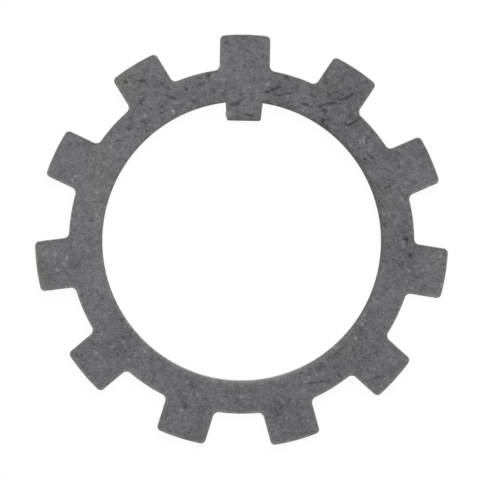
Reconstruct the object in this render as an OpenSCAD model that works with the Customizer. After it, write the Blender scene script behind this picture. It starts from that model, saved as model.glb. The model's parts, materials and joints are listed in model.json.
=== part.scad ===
// Spindle lock washer: one flat stamping with bend-up tabs round the outside and one key in the bore.
// The origin is on the bore axis at the underside, +Z is through the sheet and +Y runs through the key.

/* [Ring] */
// Diameter of the bore that slides over the spindle thread
bore_d = 51; // [46:0.1:55]
// Outside diameter of the ring between the tabs
body_d = 63.2; // [60:0.1:68]
// Thickness of the sheet
thickness = 1.6; // [1:0.1:2.5]

/* [Tabs] */
// Number of tabs round the ring, the first one in line with the key
tab_count = 11; // [6:1:15]
// Diameter over the tips of the tabs
tab_d = 75.6; // [70:0.1:84]
// Width of a tab across its parallel sides
tab_w = 9.2; // [6:0.1:11]
// Radius of the two corners at the tip of a tab
tip_r = 0.85; // [0.75:0.05:1.5]
// Radius of the fillets where a tab joins the ring
root_r = 1; // [0.5:0.05:1.5]

/* [Key] */
// Width of the key across its tip
key_tip_w = 6.2; // [4:0.1:6.6]
// Width of the key where its sides meet the bore
key_root_w = 6.8; // [6.4:0.1:8]
// How far the tip of the key reaches in from the bore
key_depth = 3.5; // [2:0.1:5]
// Radius of the two corners at the tip of the key
key_r = 0.45; // [0.3:0.05:1]

/* [Sheared edges] */
// Width of the rolled border that shearing draws down along an edge
roll_w = 1.1; // [0.6:0.05:1.3]
// Depth of the rolled border where it meets the wall
roll_h = 0.11; // [0.08:0.01:0.25]

/* [Hidden] */

$fn = 96;
steel = [0.42, 0.42, 0.43];

bore_r = bore_d / 2;
body_r = body_d / 2;
tab_r = tab_d / 2;
pitch = 360 / tab_count;

// Radius in the middle of the ring where tabs and key are anchored
anchor_r = (bore_r + body_r) / 2;

// How far cutters reach past the faces that they cut
over = 0.4;

// The roll is an arc that leaves the flat face at a slight angle and ends on the wall
roll_start = 2;
roll_r = (roll_w * roll_w + roll_h * roll_h)
    / (2 * (roll_h * cos(roll_start) - roll_w * sin(roll_start)));
roll_x = roll_w + roll_r * sin(roll_start);
roll_y = roll_r * cos(roll_start);

// Corner arcs are this much larger than tangent ones, so that they cross the sides that they round
cross = 0.002;

// Centres of the corners at a tab's tip, which touch the tab's side and the tip circle
tip_x = tab_w / 2 - tip_r;
tip_y = sqrt(pow(tab_r - tip_r, 2) - tip_x * tip_x);

// Centre of a root fillet, which touches the tab's side and the ring's outside
root_x = tab_w / 2 + root_r;
root_y = sqrt(pow(body_r + root_r, 2) - root_x * root_x);
root_seat = tab_w / 4;

// The key's sides run from its root on the bore to its tip at one taper
key_tip_y = bore_r - key_depth;
key_root_y = sqrt(bore_r * bore_r - pow(key_root_w / 2, 2));
key_taper = atan((key_root_w - key_tip_w) / 2 / (key_root_y - key_tip_y));
key_anchor_w = key_tip_w + 2 * (anchor_r - key_tip_y) * tan(key_taper);
key_x = key_tip_w / 2 - key_r * (1 - sin(key_taper)) / cos(key_taper);
key_y = key_tip_y + key_r;

// Fills the inner corner between a tab's right side and the ring with a fillet
module root_fillet() {
    ring_point = [root_x, root_y] * (body_r - root_seat) / (body_r + root_r);
    tab_point = [tab_w / 2 - root_seat, root_y];
    difference() {
        polygon([[root_x, root_y], tab_point, [tab_point.x, ring_point.y], ring_point]);
        translate([root_x, root_y]) circle(r = root_r + cross);
    }
}

// Outline of one tab along +Y: straight sides, a tip on the outer circle, round corners and root fillets
module tab_outline() {
    translate([-tab_w / 2, anchor_r]) square([tab_w, tip_y - anchor_r]);
    intersection() {
        circle(r = tab_r);
        polygon([[0, 0], 2 * [tip_x, tip_y], 2 * [-tip_x, tip_y]]);
    }
    for (side = [0, 1]) mirror([side, 0]) {
        translate([tip_x, tip_y]) circle(r = tip_r + cross);
        root_fillet();
    }
}

// What a roll takes off a section's upper left corner, placed at the origin
module roll_cut() {
    difference() {
        translate([-over, -2 * roll_h]) square([roll_x + over, over + 2 * roll_h]);
        translate([roll_x, -roll_y]) circle(r = roll_r);
    }
}

// The punch that opens the bore, which draws the upper face down round its edge
module bore_punch() {
    rotate_extrude() {
        translate([0, -over]) square([bore_r, thickness + 2 * over]);
        translate([bore_r, thickness]) roll_cut();
    }
}

// Takes the roll off an upper edge that runs along +Y at x = 0, with the metal on the right
module edge_roll(length) {
    translate([0, length, thickness]) rotate([90, 0, 0]) linear_extrude(length) roll_cut();
}

// Takes the sharp corner at the right of the key's tip down to its radius
module key_corner() {
    side_way = [cos(key_taper), -sin(key_taper)];
    translate([0, 0, -over]) linear_extrude(thickness + 2 * over) difference() {
        polygon([
            [key_x, key_y],
            [key_x, key_tip_y - over],
            [key_tip_w / 2 + over, key_tip_y - over],
            [key_x, key_y] + (key_r + over) * side_way
        ]);
        translate([key_x, key_y]) circle(r = key_r + cross);
    }
}

// The tapered key along +Y, rolled on the upper face along both sides and the tip
module key() {
    difference() {
        linear_extrude(thickness) polygon([
            [key_tip_w / 2, key_tip_y],
            [key_anchor_w / 2, anchor_r],
            [-key_anchor_w / 2, anchor_r],
            [-key_tip_w / 2, key_tip_y]
        ]);
        for (side = [0, 1]) mirror([side, 0, 0]) {
            translate([-key_tip_w / 2, key_tip_y, 0]) rotate(key_taper)
                translate([0, -over, 0]) edge_roll(body_r - key_tip_y);
            key_corner();
        }
        translate([key_tip_w, key_tip_y, 0]) rotate(90) edge_roll(2 * key_tip_w);
    }
}

// The blanked ring and its tabs, pierced by the bore, with the key left standing in it
module lock_washer() {
    color(steel) union() {
        difference() {
            linear_extrude(thickness) {
                circle(r = body_r);
                for (i = [0 : tab_count - 1]) rotate(i * pitch) tab_outline();
            }
            bore_punch();
        }
        key();
    }
}

lock_washer();
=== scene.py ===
import json
import math
import random

import bmesh
import bpy
from mathutils import Matrix, Vector, kdtree, noise


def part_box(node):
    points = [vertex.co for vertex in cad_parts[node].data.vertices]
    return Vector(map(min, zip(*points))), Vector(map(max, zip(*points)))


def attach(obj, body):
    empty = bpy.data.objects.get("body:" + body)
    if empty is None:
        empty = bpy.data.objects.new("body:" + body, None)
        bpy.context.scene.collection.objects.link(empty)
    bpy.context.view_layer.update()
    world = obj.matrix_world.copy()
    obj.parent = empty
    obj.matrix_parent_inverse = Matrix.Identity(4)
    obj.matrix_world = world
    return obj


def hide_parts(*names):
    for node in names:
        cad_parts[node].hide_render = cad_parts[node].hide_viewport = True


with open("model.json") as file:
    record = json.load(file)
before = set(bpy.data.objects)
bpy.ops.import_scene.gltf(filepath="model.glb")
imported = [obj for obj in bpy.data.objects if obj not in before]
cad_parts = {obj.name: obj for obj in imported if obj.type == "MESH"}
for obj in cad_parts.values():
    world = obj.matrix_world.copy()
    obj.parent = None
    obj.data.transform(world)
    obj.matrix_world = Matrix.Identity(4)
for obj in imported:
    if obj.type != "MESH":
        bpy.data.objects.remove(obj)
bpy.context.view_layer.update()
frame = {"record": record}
nodeLow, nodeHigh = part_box("lock_washer")
boreMount = next(m for m in frame["record"]["mounts"] if m["name"] == "keyed_bore")
mm = 0.001


# the washer itself
washer = {
    "thickness": nodeHigh.z - nodeLow.z,
    "boreRadius": boreMount["dims"]["r_mm"] * mm,
    "tipRadius": nodeHigh.y,       # the first tab and the key lie on +Y
    "bodyRadius": 31.6 * mm,       # outside of the ring between the tabs
    "tabCount": 11,
    "tabWidth": 9.2 * mm,
    "tipCorner": 0.85 * mm,        # round corners of a tab
    "rootCorner": 1.0 * mm,        # fillets where it joins the ring
    "keyDepth": 3.5 * mm,
    "keyTipWidth": 6.2 * mm,
    "keyRootWidth": 6.8 * mm,
    "keyCorner": 0.45 * mm,
    "edgeLoops": (0.06 * mm, 0.12 * mm, 0.18 * mm),
    "edgeStep": 0.3 * mm,          # longest stretch along the outline
    "upperGrid": 0.2 * mm,         # cells that carry the marks
    "underGrid": 0.4 * mm,
    "gridSnap": 0.02 * mm,         # cuts join points that lie this close
    "wallBands": 6,
    "spinSteps": 8,                # for each tab and for each gap
    "cornerSteps": 6,
    "keyCornerSteps": 5,
    "weld": 0.01 * mm,
    "seamTurn": 2.5,               # the blank parts in two this many tabs from the key
    "flatFacing": 0.9,             # a flat face looks at least this squarely up or down
    "wallFacing": 0.5,             # and a wall less than this
    "sharpAngle": math.radians(40),
}
nearby = 0.001 * mm                # points this close lie on the same line

tabPitch = 2 * math.pi / washer["tabCount"]
tabHalfTurn = math.asin(washer["tabWidth"] / 2 / washer["bodyRadius"])
keyHalfTurn = math.asin(washer["keyRootWidth"] / 2 / washer["boreRadius"])
keyTipY = washer["boreRadius"] - washer["keyDepth"]
keyRootY = washer["boreRadius"] * math.cos(keyHalfTurn)
ringMiddle = (washer["boreRadius"] + washer["bodyRadius"]) / 2


def turnFromKey(place):
    return math.atan2(-place.x, place.y)


def tabAxis(place):
    turn = round(turnFromKey(place) / tabPitch) * tabPitch
    return Vector((-math.sin(turn), math.cos(turn), 0))


def acrossTab(place):
    along = tabAxis(place)
    return place.x * along.y - place.y * along.x


def onlyVerts(geom):
    return [g for g in geom if isinstance(g, bmesh.types.BMVert)]


def onlyFaces(geom):
    return [g for g in geom if isinstance(g, bmesh.types.BMFace)]


def spinRing(bm):
    # a radial edge spun round the axis, a tab's width and then a gap's width at a time
    start = Vector((math.sin(tabHalfTurn), math.cos(tabHalfTurn), 0))
    ends = [bm.verts.new(start * washer["boreRadius"]), bm.verts.new(start * washer["bodyRadius"])]
    section = ends + [bm.edges.new(ends)]
    for tab in range(washer["tabCount"]):
        for sweep in (2 * tabHalfTurn, tabPitch - 2 * tabHalfTurn):
            made = bmesh.ops.spin(bm, geom=section, cent=(0, 0, 0), axis=(0, 0, 1), angle=sweep,
                                  steps=washer["spinSteps"])
            section = made["geom_last"]
    bmesh.ops.remove_doubles(bm, verts=bm.verts[:], dist=washer["weld"])


def rimEdges(bm, wanted):
    return [e for e in bm.edges if e.is_boundary and wanted((e.verts[0].co + e.verts[1].co) / 2)]


def drawTabs(bm):
    edges = rimEdges(bm, lambda p: p.length > ringMiddle and abs(acrossTab(p)) < washer["tabWidth"] / 2)
    made = bmesh.ops.extrude_edge_only(bm, edges=edges)
    for vert in onlyVerts(made["geom"]):
        across = acrossTab(vert.co)
        foot = math.sqrt(washer["bodyRadius"] ** 2 - across ** 2)
        vert.co += tabAxis(vert.co) * (math.sqrt(washer["tipRadius"] ** 2 - across ** 2) - foot)


def drawKey(bm):
    edges = rimEdges(bm, lambda p: p.length < ringMiddle and abs(turnFromKey(p)) < tabHalfTurn)
    for vert in {v for e in edges for v in e.verts}:  # the bore's points close up to the key's root
        turn = turnFromKey(vert.co) * keyHalfTurn / tabHalfTurn
        vert.co = Vector((-math.sin(turn), math.cos(turn), 0)) * washer["boreRadius"]
    made = bmesh.ops.extrude_edge_only(bm, edges=edges)
    for vert in onlyVerts(made["geom"]):
        vert.co = Vector((vert.co.x * washer["keyTipWidth"] / washer["keyRootWidth"], keyTipY, 0))


def joinFaces(bm):
    # two large faces that meet in two gaps between tabs
    seam = washer["seamTurn"] * tabPitch
    upper = [f for f in bm.faces if abs(turnFromKey(f.calc_center_median())) < seam]
    lower = [f for f in bm.faces if f not in set(upper)]
    for half in (upper, lower):
        bmesh.ops.dissolve_faces(bm, faces=half, use_verts=False)


def roundCorners(bm, corners, radius, lean, steps):
    reach = radius * math.tan((math.pi / 2 - lean) / 2)
    bmesh.ops.bevel(bm, geom=corners, offset=reach, offset_type="OFFSET", segments=steps, profile=0.5,
                    affect="VERTICES", material=-1, clamp_overlap=False)


def stampBlank(bm):
    spinRing(bm)
    drawTabs(bm)
    drawKey(bm)
    bmesh.ops.recalc_face_normals(bm, faces=bm.faces[:])
    joinFaces(bm)
    halfTab = washer["tabWidth"] / 2
    outer = [v for v in bm.verts if abs(abs(acrossTab(v.co)) - halfTab) < nearby]
    roots = [v for v in outer if v.co.length < washer["bodyRadius"] + nearby]
    tips = [v for v in outer if v not in roots]
    keyTips = [v for v in bm.verts if abs(v.co.y - keyTipY) < nearby
               and abs(abs(v.co.x) - washer["keyTipWidth"] / 2) < nearby]
    tipLean = math.asin(halfTab / washer["tipRadius"])
    roundCorners(bm, tips, washer["tipCorner"], tipLean, washer["cornerSteps"])
    roundCorners(bm, roots, washer["rootCorner"], tabHalfTurn, washer["cornerSteps"])
    roundCorners(bm, keyTips, washer["keyCorner"], 0, washer["keyCornerSteps"])
    for edge in [e for e in bm.edges if e.is_boundary and e.calc_length() > washer["edgeStep"]]:
        bmesh.ops.bisect_edges(bm, edges=[edge], cuts=int(edge.calc_length() / washer["edgeStep"]))
    print("blank stamped,", len(bm.verts), "points on its outline")


def raiseSheet(bm):
    made = bmesh.ops.extrude_face_region(bm, geom=bm.faces[:])
    bmesh.ops.translate(bm, verts=onlyVerts(made["geom"]), vec=(0, 0, washer["thickness"]))
    bmesh.ops.recalc_face_normals(bm, faces=bm.faces[:])
    uprights = [e for e in bm.edges if abs(e.verts[0].co.z - e.verts[1].co.z) > washer["thickness"] / 2]
    bmesh.ops.subdivide_edges(bm, edges=uprights, cuts=washer["wallBands"] - 1)


def cutGrid(bm, faces, axis, low, count, step):
    # halves a stretch of cells until each is one step wide
    if count < 2 or not faces:
        return faces
    half = count // 2
    middle = low + half * step
    normal = Vector((axis == 0, axis == 1, 0))
    edges = list({e for f in faces for e in f.edges})
    verts = list({v for f in faces for v in f.verts})
    made = bmesh.ops.bisect_plane(bm, geom=faces + edges + verts, dist=washer["gridSnap"],
                                  plane_co=normal * middle, plane_no=normal)
    cells = onlyFaces(made["geom"])
    before = [f for f in cells if f.calc_center_median()[axis] < middle]
    after = [f for f in cells if f.calc_center_median()[axis] >= middle]
    return cutGrid(bm, before, axis, low, half, step) + cutGrid(bm, after, axis, middle, count - half, step)


def gridFace(bm, up, step):
    faces = [f for f in bm.faces if f.normal.z * up > washer["flatFacing"]]
    for width in washer["edgeLoops"]:
        bmesh.ops.inset_region(bm, faces=faces, thickness=width, use_even_offset=True, use_boundary=True)
    count = 2 * math.ceil(washer["tipRadius"] / step)
    for axis in (0, 1):
        faces = cutGrid(bm, faces, axis, -count * step / 2, count, step)
    print("upper face" if up > 0 else "underside", "cut into", len(faces), "cells")


def roundedInset(side, end, radius):
    # depth inside a corner of two straight sides that is rounded off
    if side < radius and end < radius:
        return radius - math.hypot(radius - side, radius - end)
    return min(side, end)


keySlope = (washer["keyRootWidth"] - washer["keyTipWidth"]) / 2 / (keyRootY - keyTipY)


def openingDepth(place):
    # how deep a point of the sheet lies behind the edge of the bore and the key
    behindTip = place.y - keyTipY
    behindSide = washer["keyTipWidth"] / 2 + behindTip * keySlope - abs(place.x)
    behindBore = math.hypot(place.x, place.y) - washer["boreRadius"]
    return max(behindBore, roundedInset(behindSide, behindTip, washer["keyCorner"]))


rootX = washer["tabWidth"] / 2 + washer["rootCorner"]  # centre of a root fillet, beside its tab
rootY = math.sqrt((washer["bodyRadius"] + washer["rootCorner"]) ** 2 - rootX ** 2)


def outlineDepth(place):
    # how deep it lies behind the outside of the ring, the root fillets and the tabs
    radius = math.hypot(place.x, place.y)
    across = abs(acrossTab(place))
    along = math.sqrt(max(0, radius ** 2 - across ** 2))
    if along < rootY and across * rootY < along * rootX:
        return math.hypot(rootX - across, rootY - along) - washer["rootCorner"]
    behindSide = washer["tabWidth"] / 2 - across
    inTab = roundedInset(behindSide, washer["tipRadius"] - radius, washer["tipCorner"])
    return max(washer["bodyRadius"] - radius, inTab)


def edgeDepth(place):
    return min(openingDepth(place), outlineDepth(place))


# how shearing and handling shape the faces and walls
relief = {
    "rollWidth": 1.1 * mm,         # border that the punch draws down
    "rollDepth": washer["thickness"] - boreMount["dims"]["length_mm"] * mm,
    "rollLean": 0.4,               # the punch stood off centre, so the roll fades to one side
    "rollTurn": math.radians(-20),  # where it is deepest, from +X
    "burrWidth": 0.5 * mm,         # lip that it leaves on the other side
    "burrHeight": 0.03 * mm,
    "edgeBreak": 0.03 * mm,        # sharp edges taken off by handling
    "sag": 0.02 * mm,              # slow waves in the sheet
    "sagSize": 14 * mm,
    "pitDepth": 0.012 * mm,        # worn, pitted skin
    "pitSize": 0.8 * mm,
    "burnish": 0.45,               # share of a wall that is cut smooth, the rest tears
    "burnishWander": 0.2,
    "burnishFade": 0.15,
    "wanderSize": 2.5 * mm,
    "tear": 0.06 * mm,
    "tearSize": 0.35 * mm,
    "rimReach": 0.16 * mm,         # lighter border along the outside and, less, along the bore: partly handling wear, partly a painted highlight where the edges catch light
    "boreWearAndHighlight": 0.3,
    "rimWarmth": 0.35,             # and a faint warm border on all edges
    "warmReach": 0.7 * mm,
}


def borderDrop(depth, width, drop):
    return drop * (1 - depth / width) ** 2 if depth < width else 0


def unevenness(place):
    wave = noise.noise(place / relief["sagSize"])
    skin = noise.noise(place / relief["pitSize"])
    return relief["sag"] * (0.5 + 0.5 * wave) + relief["pitDepth"] * max(0, skin)


def tornShare(place, inBore):
    # 0 where the punch cut the wall smooth, next to the roll, and 1 where it broke
    fromRoll = place.z / washer["thickness"]
    if inBore:
        fromRoll = 1 - fromRoll
    wander = relief["burnishWander"] * noise.noise(place * Vector((1, 1, 0)) / relief["wanderSize"])
    return min(1, max(0, (fromRoll - relief["burnish"] + wander) / relief["burnishFade"]))


def wearSheet(bm):
    # the bore's roll is on top and its burr below, and the outline has them the other way round
    rim = bm.verts.layers.float.new("rimWearAndHighlight")
    warmth = bm.verts.layers.float.new("warmth")
    torn = bm.verts.layers.float.new("tornWall")
    middle = washer["thickness"] / 2
    for vert in bm.verts:
        place = vert.co.copy()
        opening = max(0, openingDepth(place))
        outline = max(0, outlineDepth(place))
        edge = min(opening, outline)
        if edge < washer["edgeLoops"][0] / 2:
            vert[torn] = tornShare(place, opening < outline)
        if abs(place.z - middle) < middle - nearby:
            ragged = 0.5 + 0.5 * noise.noise(place / relief["tearSize"])
            vert.co -= vert.normal * relief["tear"] * vert[torn] * ragged
            continue
        up = 1 if place.z > middle else -1
        rolled, burred = (opening, outline) if up > 0 else (outline, opening)
        turn = math.atan2(place.y, place.x) - relief["rollTurn"]
        evenness = 1 - relief["rollLean"] * (1 - math.cos(turn))
        drop = borderDrop(rolled, relief["rollWidth"], relief["rollDepth"] * evenness)
        drop += relief["burrHeight"] - borderDrop(burred, relief["burrWidth"], relief["burrHeight"])
        drop += borderDrop(edge, washer["edgeLoops"][0], relief["edgeBreak"])
        vert.co.z -= up * (drop + unevenness(place))
        # the edges are lightened in colour: partly handling wear, partly a painted highlight along the burr
        # and the roll
        vert[rim] = math.exp(-burred / relief["rimReach"])
        vert[rim] += relief["boreWearAndHighlight"] * math.exp(-rolled / relief["rimReach"])
        vert[warmth] = relief["rimWarmth"] * math.exp(-edge / relief["warmReach"])
    print("edges rolled and walls torn")


# the marks that handling left, in mm from the bore's axis as the camera sees them
viewTurn = math.radians(1.03)      # the washer lies turned this much clockwise
darkMarks = (                      # across, up, length, width, lean
    (-18.5, 29.2, 1.7, 0.6, 0), (-21.3, 29.0, 0.8, 0.8, 0), (-14.6, 28.7, 1.0, 0.5, 10),
    (-12.7, 26.2, 1.6, 0.6, -20), (-8.6, 25.5, 1.0, 0.6, -30), (-7.4, 28.5, 1.1, 0.9, 80),
    (-18.3, 25.6, 1.8, 0.5, 40), (-16.6, 24.1, 1.0, 0.4, -10), (-14.7, 24.5, 1.0, 0.5, 15),
    (-14.7, 23.4, 0.6, 0.4, 0), (-10.1, 27.7, 0.6, 0.6, 0), (-6.0, 30.3, 0.9, 0.5, 20),
    (-22.3, 18.3, 1.0, 0.4, 0), (-2.8, 36.2, 0.7, 0.5, 0), (0.5, 31.9, 0.5, 0.5, 0),
    (6.2, 27.9, 1.6, 0.6, 30), (4.7, 27.2, 1.4, 0.7, 20), (-0.6, 25.4, 2.4, 0.5, 27),
    (0.8, 23.1, 1.0, 0.4, 0), (1.9, 23.0, 1.0, 0.4, -10), (11.6, 25.0, 1.4, 0.5, -15),
    (14.4, 24.6, 0.7, 0.5, 0), (15.9, 25.0, 2.8, 0.4, 9), (15.1, 23.8, 1.2, 0.6, -15),
    (19.7, 26.5, 2.0, 0.5, 25), (20.2, 21.5, 2.1, 0.45, 25), (14.9, 22.0, 1.0, 0.6, 20),
    (22.5, 14.9, 0.5, 0.6, 0), (23.8, 15.2, 0.8, 0.4, -45), (26.9, 9.9, 0.8, 0.4, 10),
    (30.0, 0.4, 1.1, 0.6, -20), (30.8, -2.5, 1.0, 0.5, -40), (13.6, -25.9, 4.4, 0.3, 7),
    (24.4, -20.5, 1.6, 0.3, 20), (24.6, -25.1, 3.0, 0.3, 14), (-27.6, 3.7, 0.8, 0.4, 10),
)
scuffs = (                         # fainter dark ones
    (17.1, 27.1, 1.5, 0.5, 10), (16.1, 26.7, 0.8, 0.6, 0), (15.6, 28.1, 0.8, 0.6, 0),
    (15.1, 29.0, 0.7, 0.5, 0), (12.9, 28.0, 0.7, 0.7, 0), (12.8, 26.7, 0.8, 0.6, 0),
    (18.5, 21.3, 1.6, 0.5, 5), (17.6, 20.2, 1.5, 0.6, 0), (15.9, 21.9, 0.8, 1.0, 0),
    (17.8, 30.0, 1.2, 0.5, 0), (19.8, 27.9, 1.1, 0.5, 0), (19.8, 22.9, 0.9, 1.1, 0),
    (8.3, 29.7, 0.8, 0.7, 0), (10.0, 27.9, 0.6, 0.9, 0), (6.5, 26.7, 1.2, 0.5, -10),
    (-15.7, 28.3, 0.7, 0.5, 0), (-13.6, 28.1, 1.2, 0.5, -10), (-18.0, 26.9, 1.6, 0.5, 0),
    (-10.9, 24.5, 0.7, 0.6, 0), (-12.1, 28.2, 0.6, 0.6, 0), (-6.7, 27.0, 0.6, 0.6, 0),
    (-5.1, 27.2, 0.6, 0.6, 0), (-3.2, 27.0, 0.8, 0.7, -20), (-2.8, 28.7, 0.6, 0.8, 0),
    (-17.5, 31.0, 0.9, 0.6, 0), (-19.7, 30.3, 0.8, 0.5, 0), (-17.1, 32.4, 0.6, 0.5, 0),
    (1.2, 27.8, 0.8, 0.5, 10), (-0.2, 26.9, 0.6, 0.5, 0), (-1.9, 32.9, 0.6, 0.6, 0),
    (-18.7, 24.9, 1.0, 0.7, 0), (-20.2, 22.5, 1.2, 0.8, 0), (-18.0, 21.9, 0.9, 0.7, 0),
    (-19.7, 24.2, 0.9, 0.6, 0), (-20.6, 20.6, 1.3, 0.8, 40), (32.9, 13.7, 0.7, 0.6, 0),
    (29.8, 12.1, 0.8, 0.6, 80), (29.8, 3.6, 0.8, 0.7, 0), (33.4, -8.3, 0.8, 0.6, 80),
    (19.3, -18.9, 0.9, 0.6, 30), (22.0, -17.1, 0.9, 0.6, 40), (-9.0, -26.4, 1.3, 0.9, 0),
    (-10.4, -30.2, 0.8, 0.6, 0), (-16.6, -20.0, 1.2, 0.6, -40), (-22.9, -20.2, 1.2, 0.9, 0),
    (-24.2, -18.8, 0.8, 0.7, 0), (-20.7, -16.8, 1.0, 0.8, -30), (-21.9, -14.6, 1.1, 0.8, -40),
    (-30.6, 2.0, 0.8, 0.6, 0), (-30.3, -4.6, 1.2, 0.7, -40), (-25.7, -10.6, 0.7, 0.6, 0),
    (8.0, 26.9, 2.2, 0.4, 8), (12.7, 24.4, 1.0, 0.5, -30), (11.2, 25.9, 0.8, 0.7, 0),
    (18.0, 25.9, 1.6, 0.5, 5), (15.4, 21.0, 1.4, 0.7, -30), (-1.6, 24.9, 1.0, 0.6, 20),
)
lightMarks = (
    (-12.5, 23.7, 1.0, 0.4, -65), (-5.3, 30.4, 0.5, 0.4, 0), (4.8, 28.7, 0.7, 0.4, 20),
    (1.4, 28.0, 0.6, 0.3, 10), (22.3, 18.4, 1.3, 0.3, 90), (29.6, -0.5, 1.0, 0.4, 85),
    (30.7, -5.4, 0.5, 0.4, 0), (33.1, -5.4, 0.5, 0.4, 0), (34.1, 10.0, 0.5, 0.4, 0),
    (31.1, -8.6, 0.5, 0.4, 0), (36.5, -8.0, 0.5, 0.3, 80), (11.5, -25.8, 0.6, 0.4, 0),
    (12.3, -24.8, 0.4, 0.4, 0), (20.9, -17.8, 0.6, 0.4, 30), (22.0, -15.2, 0.5, 0.4, 0),
    (22.5, -13.6, 0.5, 0.4, 60), (0.0, -28.5, 0.6, 0.3, 0), (-11.0, -31.0, 0.6, 0.4, 0),
    (-26.5, -20.5, 0.5, 0.4, 0), (-25.7, -21.3, 0.5, 0.4, 0), (-17.7, -20.3, 0.5, 0.4, 0),
    (-26.5, 9.0, 0.6, 0.4, 60), (-30.3, 11.9, 0.6, 0.4, 0), (-31.0, 11.2, 0.5, 0.4, 0),
    (-32.0, -3.1, 0.6, 0.4, 60), (-32.5, -4.2, 0.6, 0.4, 0), (-33.8, -5.2, 0.6, 0.3, -40),
    (-24.0, 17.2, 0.5, 0.4, 80), (-17.7, 23.0, 0.5, 0.5, 0),
)
edgeMarks = (                      # across, up, length, how far it stands out of the wall, tone
    # the first, a burr on the key's flank, is lightened strongly: partly bare sheared metal, partly a
    # painted highlight
    (-2.79, 23.13, 0.8, 0.2, 1.8), (13.7, -33.0, 0.5, -0.18, 0.3), (30.4, -21.9, 0.5, -0.12, 0.3),
)
stains = (                         # across, up, width, height, tone, warmth
    (-27.4, 7.5, 9, 15, 0.18, 0), (-26.0, -8.0, 7, 9, 0.17, 0), (-35.4, -1.6, 5, 5, 0.14, 0),
    (-32.3, 14.8, 8, 7, 0.10, 0), (-20.4, 29.5, 7, 6, 0.06, 0.2), (35.4, -4.4, 4, 7, 0.08, 0),
    (18.9, 25.8, 13, 11, -0.15, 0), (7.0, 27.3, 6, 5, -0.13, 0), (29.9, -1.6, 5, 6, -0.14, 0),
    (22.6, -19.9, 12, 9, -0.04, 0), (8.8, -30.5, 7, 6, -0.10, 0), (-21.9, -19.9, 5, 5, -0.13, 0),
    (-10.4, -30.0, 6, 5, -0.07, 0), (-30.5, -4.4, 4, 4, -0.10, 0), (24.0, 14.0, 30, 40, -0.05, 0),
    (-20.0, -20.0, 24, 24, 0.06, 0), (-34.0, -9.0, 6, 6, 0.04, 0), (5.0, 34.0, 22, 12, -0.03, 0),
    (-26.3, 12.0, 4, 14, 0, 0.5), (-37.2, -5.3, 3, 9, 0, 1.0), (-21.9, 29.1, 4, 4, 0, 0.8),
    (15.2, 28.5, 5, 4, 0, 0.4), (26.2, 6.6, 3, 8, 0, 0.4), (36.3, -2.6, 3, 5, 0, 0.5),
    (-0.3, -26.3, 6, 2, 0, 0.4), (18.9, -19.0, 4, 4, 0, 0.4), (22.5, -13.0, 2.4, 2.4, -0.08, 0),
    (20.3, -16.3, 2.4, 2.4, -0.09, 0), (18.2, -18.6, 2.4, 2.4, -0.09, 0),
    (16.0, -20.5, 2.4, 2.4, -0.08, 0), (-24.8, 6.7, 1.6, 5, -0.05, 0),
    (-25.7, 0.8, 1.6, 5, -0.06, 0), (-25.0, -5.6, 1.6, 5, -0.06, 0), (-22.6, -12.4, 2, 4, -0.05, 0),
)
marking = {
    "darkTone": -1.0,
    "scuffTone": -0.5,
    "lightTone": 0.9,
    "darkDepth": 0.014 * mm,
    "scuffDepth": 0.006 * mm,
    "lightDepth": 0.008 * mm,
    "spread": 1.12,                # wear has widened the marks
    "ragged": 0.45,                # how uneven a mark's border is
    "raggedSize": 0.35 * mm,
    "searchReach": 0.9,            # in lengths of the mark
    "fadeEnd": 1.5,                # in half sizes of the mark
    "fadeSpan": 1.1,
    "edgeProbe": 0.05 * mm,        # step that tells which way an edge faces
    "seed": 11,
    "flecks": 1500,                # small random ones on each face
    "fleckLength": (0.25 * mm, 0.7 * mm),
    "fleckTone": (-0.42, 0.42),
    "fleckDepth": 0.008 * mm,
    "fleckLean": 0.8,
    "fleckWidth": (0.6, 1),        # share of its length
    "underStains": 30,             # random ones on the underside
    "underWidth": (4, 14),         # in mm
    "underHeight": (4, 10),
    "underTone": (-0.12, 0.12),
    "underWarmth": 0.4,
}


def seenPlace(across, up):
    return Matrix.Rotation(viewTurn, 3, "Z") @ Vector((across, up, 0)) * mm


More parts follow.
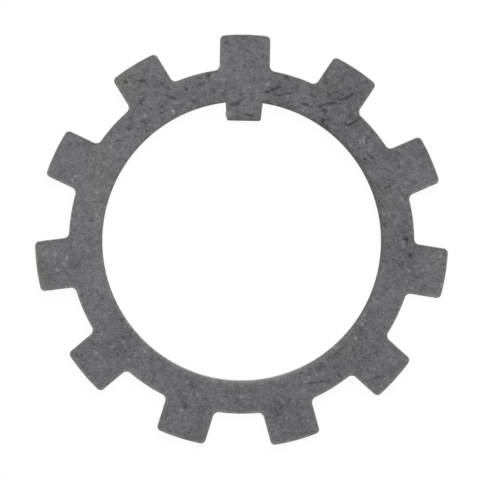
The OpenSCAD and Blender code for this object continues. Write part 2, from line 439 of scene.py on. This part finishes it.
class SheetFace:
    # one face of the sheet, searched by place, so that marks can press and tone its points
    def __init__(self, bm, up):
        layers = bm.verts.layers.float
        self.up = up
        self.tone, self.stainTone, self.warmth = [
            layers.get(name) or layers.new(name) for name in ("markTone", "stainTone", "warmth")]
        middle = washer["thickness"] / 2
        self.verts = [v for v in bm.verts if (v.co.z - middle) * up > middle / 2]
        self.tree = kdtree.KDTree(len(self.verts))
        for index, vert in enumerate(self.verts):
            self.tree.insert((vert.co.x, vert.co.y, 0), index)
        self.tree.balance()

    def around(self, place, reach):
        return [(self.verts[index], near) for near, index, distance in self.tree.find_range(place, reach)]

    def strike(self, place, length, width, lean, tone, depth):
        turn = Matrix.Rotation(-lean, 3, "Z")
        length, width = length * marking["spread"], width * marking["spread"]
        for vert, near in self.around(place, length * marking["searchReach"]):
            across = turn @ (near - place)
            ragged = 1 + marking["ragged"] * noise.noise(near / marking["raggedSize"])
            reach = math.hypot(across.x / length, across.y / width) * 2 * ragged
            fade = min(1, max(0, (marking["fadeEnd"] - reach) / marking["fadeSpan"]))
            fade = fade * fade * (3 - 2 * fade)
            vert[self.tone] = max(-1, min(1, vert[self.tone] + tone * fade))
            vert.co.z -= self.up * depth * fade

    def stain(self, place, width, height, tone, warmth):
        for vert, near in self.around(place, max(width, height)):
            reach = math.hypot((near.x - place.x) / width, (near.y - place.y) / height) * 2
            fade = math.exp(-reach * reach)
            vert[self.stainTone] += tone * fade
            vert[self.warmth] += warmth * fade

    def pushEdge(self, place, length, height, tone):
        # a burr stands out of the wall, and a nick goes into it
        probe = marking["edgeProbe"]
        sides = Vector((probe, 0, 0)), Vector((0, probe, 0))
        slope = [edgeDepth(place + side) - edgeDepth(place - side) for side in sides]
        out = -Vector((slope[0], slope[1], 0)).normalized()
        for vert, near in self.around(place, length * 2):
            inward = max(0, -(near - place).dot(out))
            along = (near - place).cross(out).z
            fade = math.exp(-(2 * along / length) ** 2 - inward / (length / 2))
            vert.co += out * height * fade
            # the tone lightens burrs and nicks, and at the key's burr it is partly a painted highlight
            vert[self.tone] += tone * fade


def anywhere(chance):
    radius = chance.uniform(washer["boreRadius"], washer["tipRadius"])
    turn = chance.uniform(0, 2 * math.pi)
    return Vector((math.cos(turn), math.sin(turn), 0)) * radius


def markFaces(bm):
    upper = SheetFace(bm, 1)
    for across, up, length, height, tone in edgeMarks:
        upper.pushEdge(seenPlace(across, up), length * mm, height * mm, tone)
    for across, up, width, height, tone, warmth in stains:
        upper.stain(seenPlace(across, up), width * mm, height * mm, tone, warmth)
    for marks, kind in ((darkMarks, "dark"), (scuffs, "scuff"), (lightMarks, "light")):
        tone, depth = marking[kind + "Tone"], marking[kind + "Depth"]
        for across, up, length, width, lean in marks:
            turn = math.radians(lean) + viewTurn
            upper.strike(seenPlace(across, up), length * mm, width * mm, turn, tone, depth)
    chance = random.Random(marking["seed"])
    under = SheetFace(bm, -1)
    for stain in range(marking["underStains"]):
        width = chance.uniform(*marking["underWidth"]) * mm
        height = chance.uniform(*marking["underHeight"]) * mm
        tone = chance.uniform(*marking["underTone"])
        warmth = max(0, chance.gauss(0, marking["underWarmth"]))
        under.stain(anywhere(chance), width, height, tone, warmth)
    for face in (upper, under):
        for fleck in range(marking["flecks"]):
            place = anywhere(chance)
            length = chance.uniform(*marking["fleckLength"])
            tone = chance.uniform(*marking["fleckTone"])
            lean = chance.gauss(0, marking["fleckLean"])
            width = length * chance.uniform(*marking["fleckWidth"])
            face.strike(place, length, width, lean, tone, marking["fleckDepth"] * abs(tone))
    print(len(darkMarks) + len(scuffs), "dark and", len(lightMarks), "light marks,",
          marking["flecks"], "flecks a face")


def addNode(tree, kind, **settings):
    node = tree.nodes.new(kind)
    for name, value in settings.items():
        setattr(node, name, value)
    return node


def wire(tree, source, target):
    tree.links.new(source, target)


def noiseNode(tree, vector, size, detail):
    node = addNode(tree, "ShaderNodeTexNoise", noise_dimensions="3D")
    node.inputs["Scale"].default_value = 1 / size
    node.inputs["Detail"].default_value = detail
    wire(tree, vector, node.inputs["Vector"])
    return node.outputs["Fac"]


def mathNode(tree, operation, first, second=None, third=None):
    node = addNode(tree, "ShaderNodeMath", operation=operation)
    for socket, value in zip(node.inputs, (first, second, third)):
        if value is None:
            continue
        if isinstance(value, (int, float)):
            socket.default_value = value
        else:
            wire(tree, value, socket)
    return node.outputs[0]


grainLayers = (                    # name, size, octaves, whether the rolling draws it out
    ("Grain", 0.3 * mm, 0.5, False), ("Mottle", 0.62 * mm, 1.5, True),
    ("Blotch", 1.7 * mm, 2.0, True), ("Patch", 5.0 * mm, 2.0, False),
)


def makeGrainGroup():
    # the skin of rolled sheet from fine grain up to wide patches, each about 0
    tree = bpy.data.node_groups.new("rolledGrain", "ShaderNodeTree")
    tree.interface.new_socket(name="Streak", in_out="INPUT", socket_type="NodeSocketFloat")
    inside = addNode(tree, "NodeGroupInput")
    place = addNode(tree, "ShaderNodeTexCoord").outputs["Object"]
    split = addNode(tree, "ShaderNodeSeparateXYZ")
    wire(tree, place, split.inputs[0])
    drawn = addNode(tree, "ShaderNodeCombineXYZ")
    wire(tree, mathNode(tree, "DIVIDE", split.outputs["X"], inside.outputs["Streak"]), drawn.inputs["X"])
    wire(tree, split.outputs["Y"], drawn.inputs["Y"])
    wire(tree, split.outputs["Z"], drawn.inputs["Z"])
    for name, size, octaves, isDrawn in grainLayers:
        tree.interface.new_socket(name=name, in_out="OUTPUT", socket_type="NodeSocketFloat")
    outside = addNode(tree, "NodeGroupOutput")
    for name, size, octaves, isDrawn in grainLayers:
        level = noiseNode(tree, drawn.outputs[0] if isDrawn else place, size, octaves)
        wire(tree, mathNode(tree, "SUBTRACT", level, 0.5), outside.inputs[name])
    return tree


grainGroup = makeGrainGroup()


def grainSkin(tree, streak):
    group = addNode(tree, "ShaderNodeGroup", node_tree=grainGroup)
    group.inputs["Streak"].default_value = streak
    return group.outputs


def newMaterial(name):
    material = bpy.data.materials.new(name)
    material.use_nodes = True
    tree = material.node_tree
    tree.nodes.clear()
    output = addNode(tree, "ShaderNodeOutputMaterial")
    shader = addNode(tree, "ShaderNodeBsdfPrincipled")
    wire(tree, shader.outputs["BSDF"], output.inputs["Surface"])
    return material, tree, shader


def attribute(tree, name):
    return addNode(tree, "ShaderNodeAttribute", attribute_name=name).outputs["Fac"]


def addUp(tree, base, parts):
    total = base
    for source, share in parts:
        total = mathNode(tree, "MULTIPLY_ADD", source, share, total)
    return total


def blendColours(tree, factor, first, second):
    mix = addNode(tree, "ShaderNodeMix", data_type="RGBA")
    wire(tree, factor, mix.inputs["Factor"])
    ends = [s for s in mix.inputs if s.type == "RGBA"]
    ends[0].default_value = first
    ends[1].default_value = second
    return next(s for s in mix.outputs if s.type == "RGBA")


def shadeColour(tree, colour, tone):
    shade = addNode(tree, "ShaderNodeVectorMath", operation="SCALE")
    wire(tree, colour, shade.inputs[0])
    wire(tree, tone, shade.inputs["Scale"])
    return shade.outputs[0]


bumpDistance = 0.1 * mm            # height of a bump at full strength


def addBump(tree, shader, height, strength):
    bump = addNode(tree, "ShaderNodeBump")
    bump.inputs["Strength"].default_value = strength
    bump.inputs["Distance"].default_value = bumpDistance
    wire(tree, height, bump.inputs["Height"])
    wire(tree, bump.outputs["Normal"], shader.inputs["Normal"])


# finish of the two faces: dull grey sheet
faceSteel = {
    "cool": (0.1422, 0.1419, 0.1481, 1),
    "warm": (0.1452, 0.1449, 0.138, 1),
    "streak": 1.0,                 # how far the mottle is drawn out, 1 for none
    "grain": 0.66,
    "mottle": 0.72,
    "blotch": 0.34,
    "patch": 0.42,
    "darkMark": 0.49,
    "lightMark": 0.9,
    # lightening along the edges: partly wear, partly a painted highlight
    "rim": 0.6,
    "roughness": 0.5,
    "roughMottle": 0.3,
    "bump": 0.14,
}


def makeFaceSteel():
    material, tree, shader = newMaterial("dullSheet")
    skin = grainSkin(tree, faceSteel["streak"])
    marks = attribute(tree, "markTone")
    tone = addUp(tree, 1.0, (
        (skin["Grain"], faceSteel["grain"]), (skin["Mottle"], faceSteel["mottle"]),
        (skin["Blotch"], faceSteel["blotch"]), (skin["Patch"], faceSteel["patch"]),
        (attribute(tree, "stainTone"), 1.0), (attribute(tree, "rimWearAndHighlight"), faceSteel["rim"]),
        (mathNode(tree, "MINIMUM", marks, 0.0), faceSteel["darkMark"]),
        (mathNode(tree, "MAXIMUM", marks, 0.0), faceSteel["lightMark"])))
    tint = blendColours(tree, attribute(tree, "warmth"), faceSteel["cool"], faceSteel["warm"])
    wire(tree, shadeColour(tree, tint, tone), shader.inputs["Base Color"])
    shader.inputs["Metallic"].default_value = 1.0
    rough = mathNode(tree, "MULTIPLY_ADD", skin["Mottle"], faceSteel["roughMottle"], faceSteel["roughness"])
    wire(tree, rough, shader.inputs["Roughness"])
    addBump(tree, shader, mathNode(tree, "ADD", skin["Grain"], skin["Mottle"]), faceSteel["bump"])
    return material


# finish of the sheared walls: a polished band with drag lines, and a dull torn one
wallSteel = {
    "burnished": (0.21, 0.21, 0.215, 1),
    "torn": (0.12, 0.12, 0.124, 1),
    "dragSize": 0.09 * mm,         # lines that the punch drew along the wall
    "dragLength": 14,
    "dragOctaves": 2.0,
    "drag": 0.7,
    "streak": 1.0,
    "grain": 0.8,
    "lightMark": 1.5,
    "burnishedRough": 0.32,
    "tornRough": 0.62,
    "bump": 0.5,
}


def makeWallSteel():
    material, tree, shader = newMaterial("shearedWall")
    skin = grainSkin(tree, wallSteel["streak"])
    torn = attribute(tree, "tornWall")
    drawn = addNode(tree, "ShaderNodeMapping")
    drawn.inputs["Scale"].default_value = (1, 1, 1 / wallSteel["dragLength"])
    wire(tree, addNode(tree, "ShaderNodeTexCoord").outputs["Object"], drawn.inputs["Vector"])
    lines = noiseNode(tree, drawn.outputs["Vector"], wallSteel["dragSize"], wallSteel["dragOctaves"])
    drag = mathNode(tree, "SUBTRACT", lines, 0.5)
    smooth = mathNode(tree, "SUBTRACT", 1.0, torn)
    tone = addUp(tree, 1.0, (
        (mathNode(tree, "MULTIPLY", drag, smooth), wallSteel["drag"]),
        (mathNode(tree, "MULTIPLY", skin["Grain"], torn), wallSteel["grain"]),
        (mathNode(tree, "MAXIMUM", attribute(tree, "markTone"), 0.0), wallSteel["lightMark"])))
    tint = blendColours(tree, torn, wallSteel["burnished"], wallSteel["torn"])
    wire(tree, shadeColour(tree, tint, tone), shader.inputs["Base Color"])
    shader.inputs["Metallic"].default_value = 1.0
    roughSpan = wallSteel["tornRough"] - wallSteel["burnishedRough"]
    rough = mathNode(tree, "MULTIPLY_ADD", torn, roughSpan, wallSteel["burnishedRough"])
    wire(tree, rough, shader.inputs["Roughness"])
    addBump(tree, shader, mathNode(tree, "MULTIPLY_ADD", torn, skin["Grain"], drag), wallSteel["bump"])
    return material


washerMesh = bpy.data.meshes.new("lockWasher")
bm = bmesh.new()
stampBlank(bm)
raiseSheet(bm)
gridFace(bm, 1, washer["upperGrid"])
gridFace(bm, -1, washer["underGrid"])
bm.normal_update()
wearSheet(bm)
markFaces(bm)
closed = not any(e.is_boundary for e in bm.edges)
print("closed", closed, "volume", round(bm.calc_volume() / mm ** 3, 1), "mm3")
for face in bm.faces:
    face.material_index = int(abs(face.normal.z) < washer["wallFacing"])
bm.to_mesh(washerMesh)
bm.free()
washerMesh.shade_smooth()
washerMesh.set_sharp_from_angle(angle=washer["sharpAngle"])
washerMesh.materials.append(makeFaceSteel())
washerMesh.materials.append(makeWallSteel())
lockWasher = bpy.data.objects.new("lockWasher", washerMesh)
bpy.context.scene.collection.objects.link(lockWasher)
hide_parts("lock_washer")
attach(lockWasher, "root")
washerMesh.calc_loop_triangles()
print("triangles", len(washerMesh.loop_triangles))

# floor and background
stage = {
    "radius": 3.0,
    "wallHeight": 1.5,
    "sides": 64,
    "colour": (0.9, 0.9, 0.9, 1),
    "glow": 0.95,                  # how white the camera and the metal see it
    "ambient": 0.62,
}


def seenRays(tree):
    path = addNode(tree, "ShaderNodeLightPath")
    seen = path.outputs["Is Camera Ray"]
    for name in ("Is Glossy Ray", "Is Transmission Ray"):
        seen = mathNode(tree, "MAXIMUM", seen, path.outputs[name])
    return seen


def makeFloor():
    bm = bmesh.new()
    bmesh.ops.create_circle(bm, cap_ends=True, segments=stage["sides"], radius=stage["radius"])
    bmesh.ops.translate(bm, verts=bm.verts[:], vec=(0, 0, nodeLow.z))
    wall = bmesh.ops.extrude_edge_only(bm, edges=[e for e in bm.edges if e.is_boundary])
    bmesh.ops.translate(bm, verts=onlyVerts(wall["geom"]), vec=(0, 0, stage["wallHeight"]))
    mesh = bpy.data.meshes.new("floor")
    bm.to_mesh(mesh)
    bm.free()
    material = bpy.data.materials.new("paleFloor")
    material.use_nodes = True
    tree = material.node_tree
    tree.nodes.clear()
    output = addNode(tree, "ShaderNodeOutputMaterial")
    matt = addNode(tree, "ShaderNodeBsdfDiffuse")
    matt.inputs["Color"].default_value = stage["colour"]
    glow = addNode(tree, "ShaderNodeEmission")
    mix = addNode(tree, "ShaderNodeMixShader")
    wire(tree, mathNode(tree, "MULTIPLY", seenRays(tree), stage["glow"]), mix.inputs[0])
    wire(tree, matt.outputs[0], mix.inputs[1])
    wire(tree, glow.outputs[0], mix.inputs[2])
    wire(tree, mix.outputs[0], output.inputs["Surface"])
    mesh.materials.append(material)
    floor = bpy.data.objects.new("floor", mesh)
    bpy.context.scene.collection.objects.link(floor)


def makeWorld():
    world = bpy.data.worlds.new("studio")
    world.use_nodes = True
    tree = world.node_tree
    tree.nodes.clear()
    output = addNode(tree, "ShaderNodeOutputWorld")
    sky = addNode(tree, "ShaderNodeBackground")
    sky.inputs["Color"].default_value = (1, 1, 1, 1)
    sky.inputs["Strength"].default_value = stage["ambient"]
    wire(tree, sky.outputs[0], output.inputs["Surface"])
    bpy.context.scene.world = world


lamps = {
    "key": {"place": (0.28, 1.6, 1.88), "size": 1.75, "power": 56},
}


def makeLamp(name, values):
    data = bpy.data.lights.new(name, "AREA")
    data.shape = "SQUARE"
    data.size = values["size"]
    data.energy = values["power"]
    lamp = bpy.data.objects.new(name, data)
    lamp.location = values["place"]
    lamp.rotation_euler = (-Vector(values["place"])).to_track_quat("-Z", "Y").to_euler()
    bpy.context.scene.collection.objects.link(lamp)


makeFloor()
makeWorld()
for name, values in lamps.items():
    makeLamp(name, values)
bpy.context.scene.view_settings.view_transform = "Standard"
print("floor, world and lamp set")

# the camera looks straight down, framed as in the photograph
view = {
    "lens": 600,
    "imageSize": 480,
    "pixel": 0.18293 * mm,         # what one pixel covers on the upper face
    "boreAt": (241.64, 241.0),     # pixel of the bore's axis
    "clipEnd": 10,
}
cameraData = bpy.data.cameras.new("camera")
cameraData.lens = view["lens"]
cameraData.clip_end = view["clipEnd"]
distance = view["imageSize"] * view["pixel"] * view["lens"] / cameraData.sensor_width
middlePixel = view["imageSize"] / 2
shift = Vector((middlePixel - view["boreAt"][0], view["boreAt"][1] - middlePixel, 0)) * view["pixel"]
cameraObject = bpy.data.objects.new("camera", cameraData)
cameraObject.location = Matrix.Rotation(viewTurn, 3, "Z") @ shift + Vector((0, 0, nodeHigh.z + distance))
cameraObject.rotation_euler = (0, 0, viewTurn)
bpy.context.scene.collection.objects.link(cameraObject)
bpy.context.scene.camera = cameraObject
print("camera at", round(distance, 3), "m")
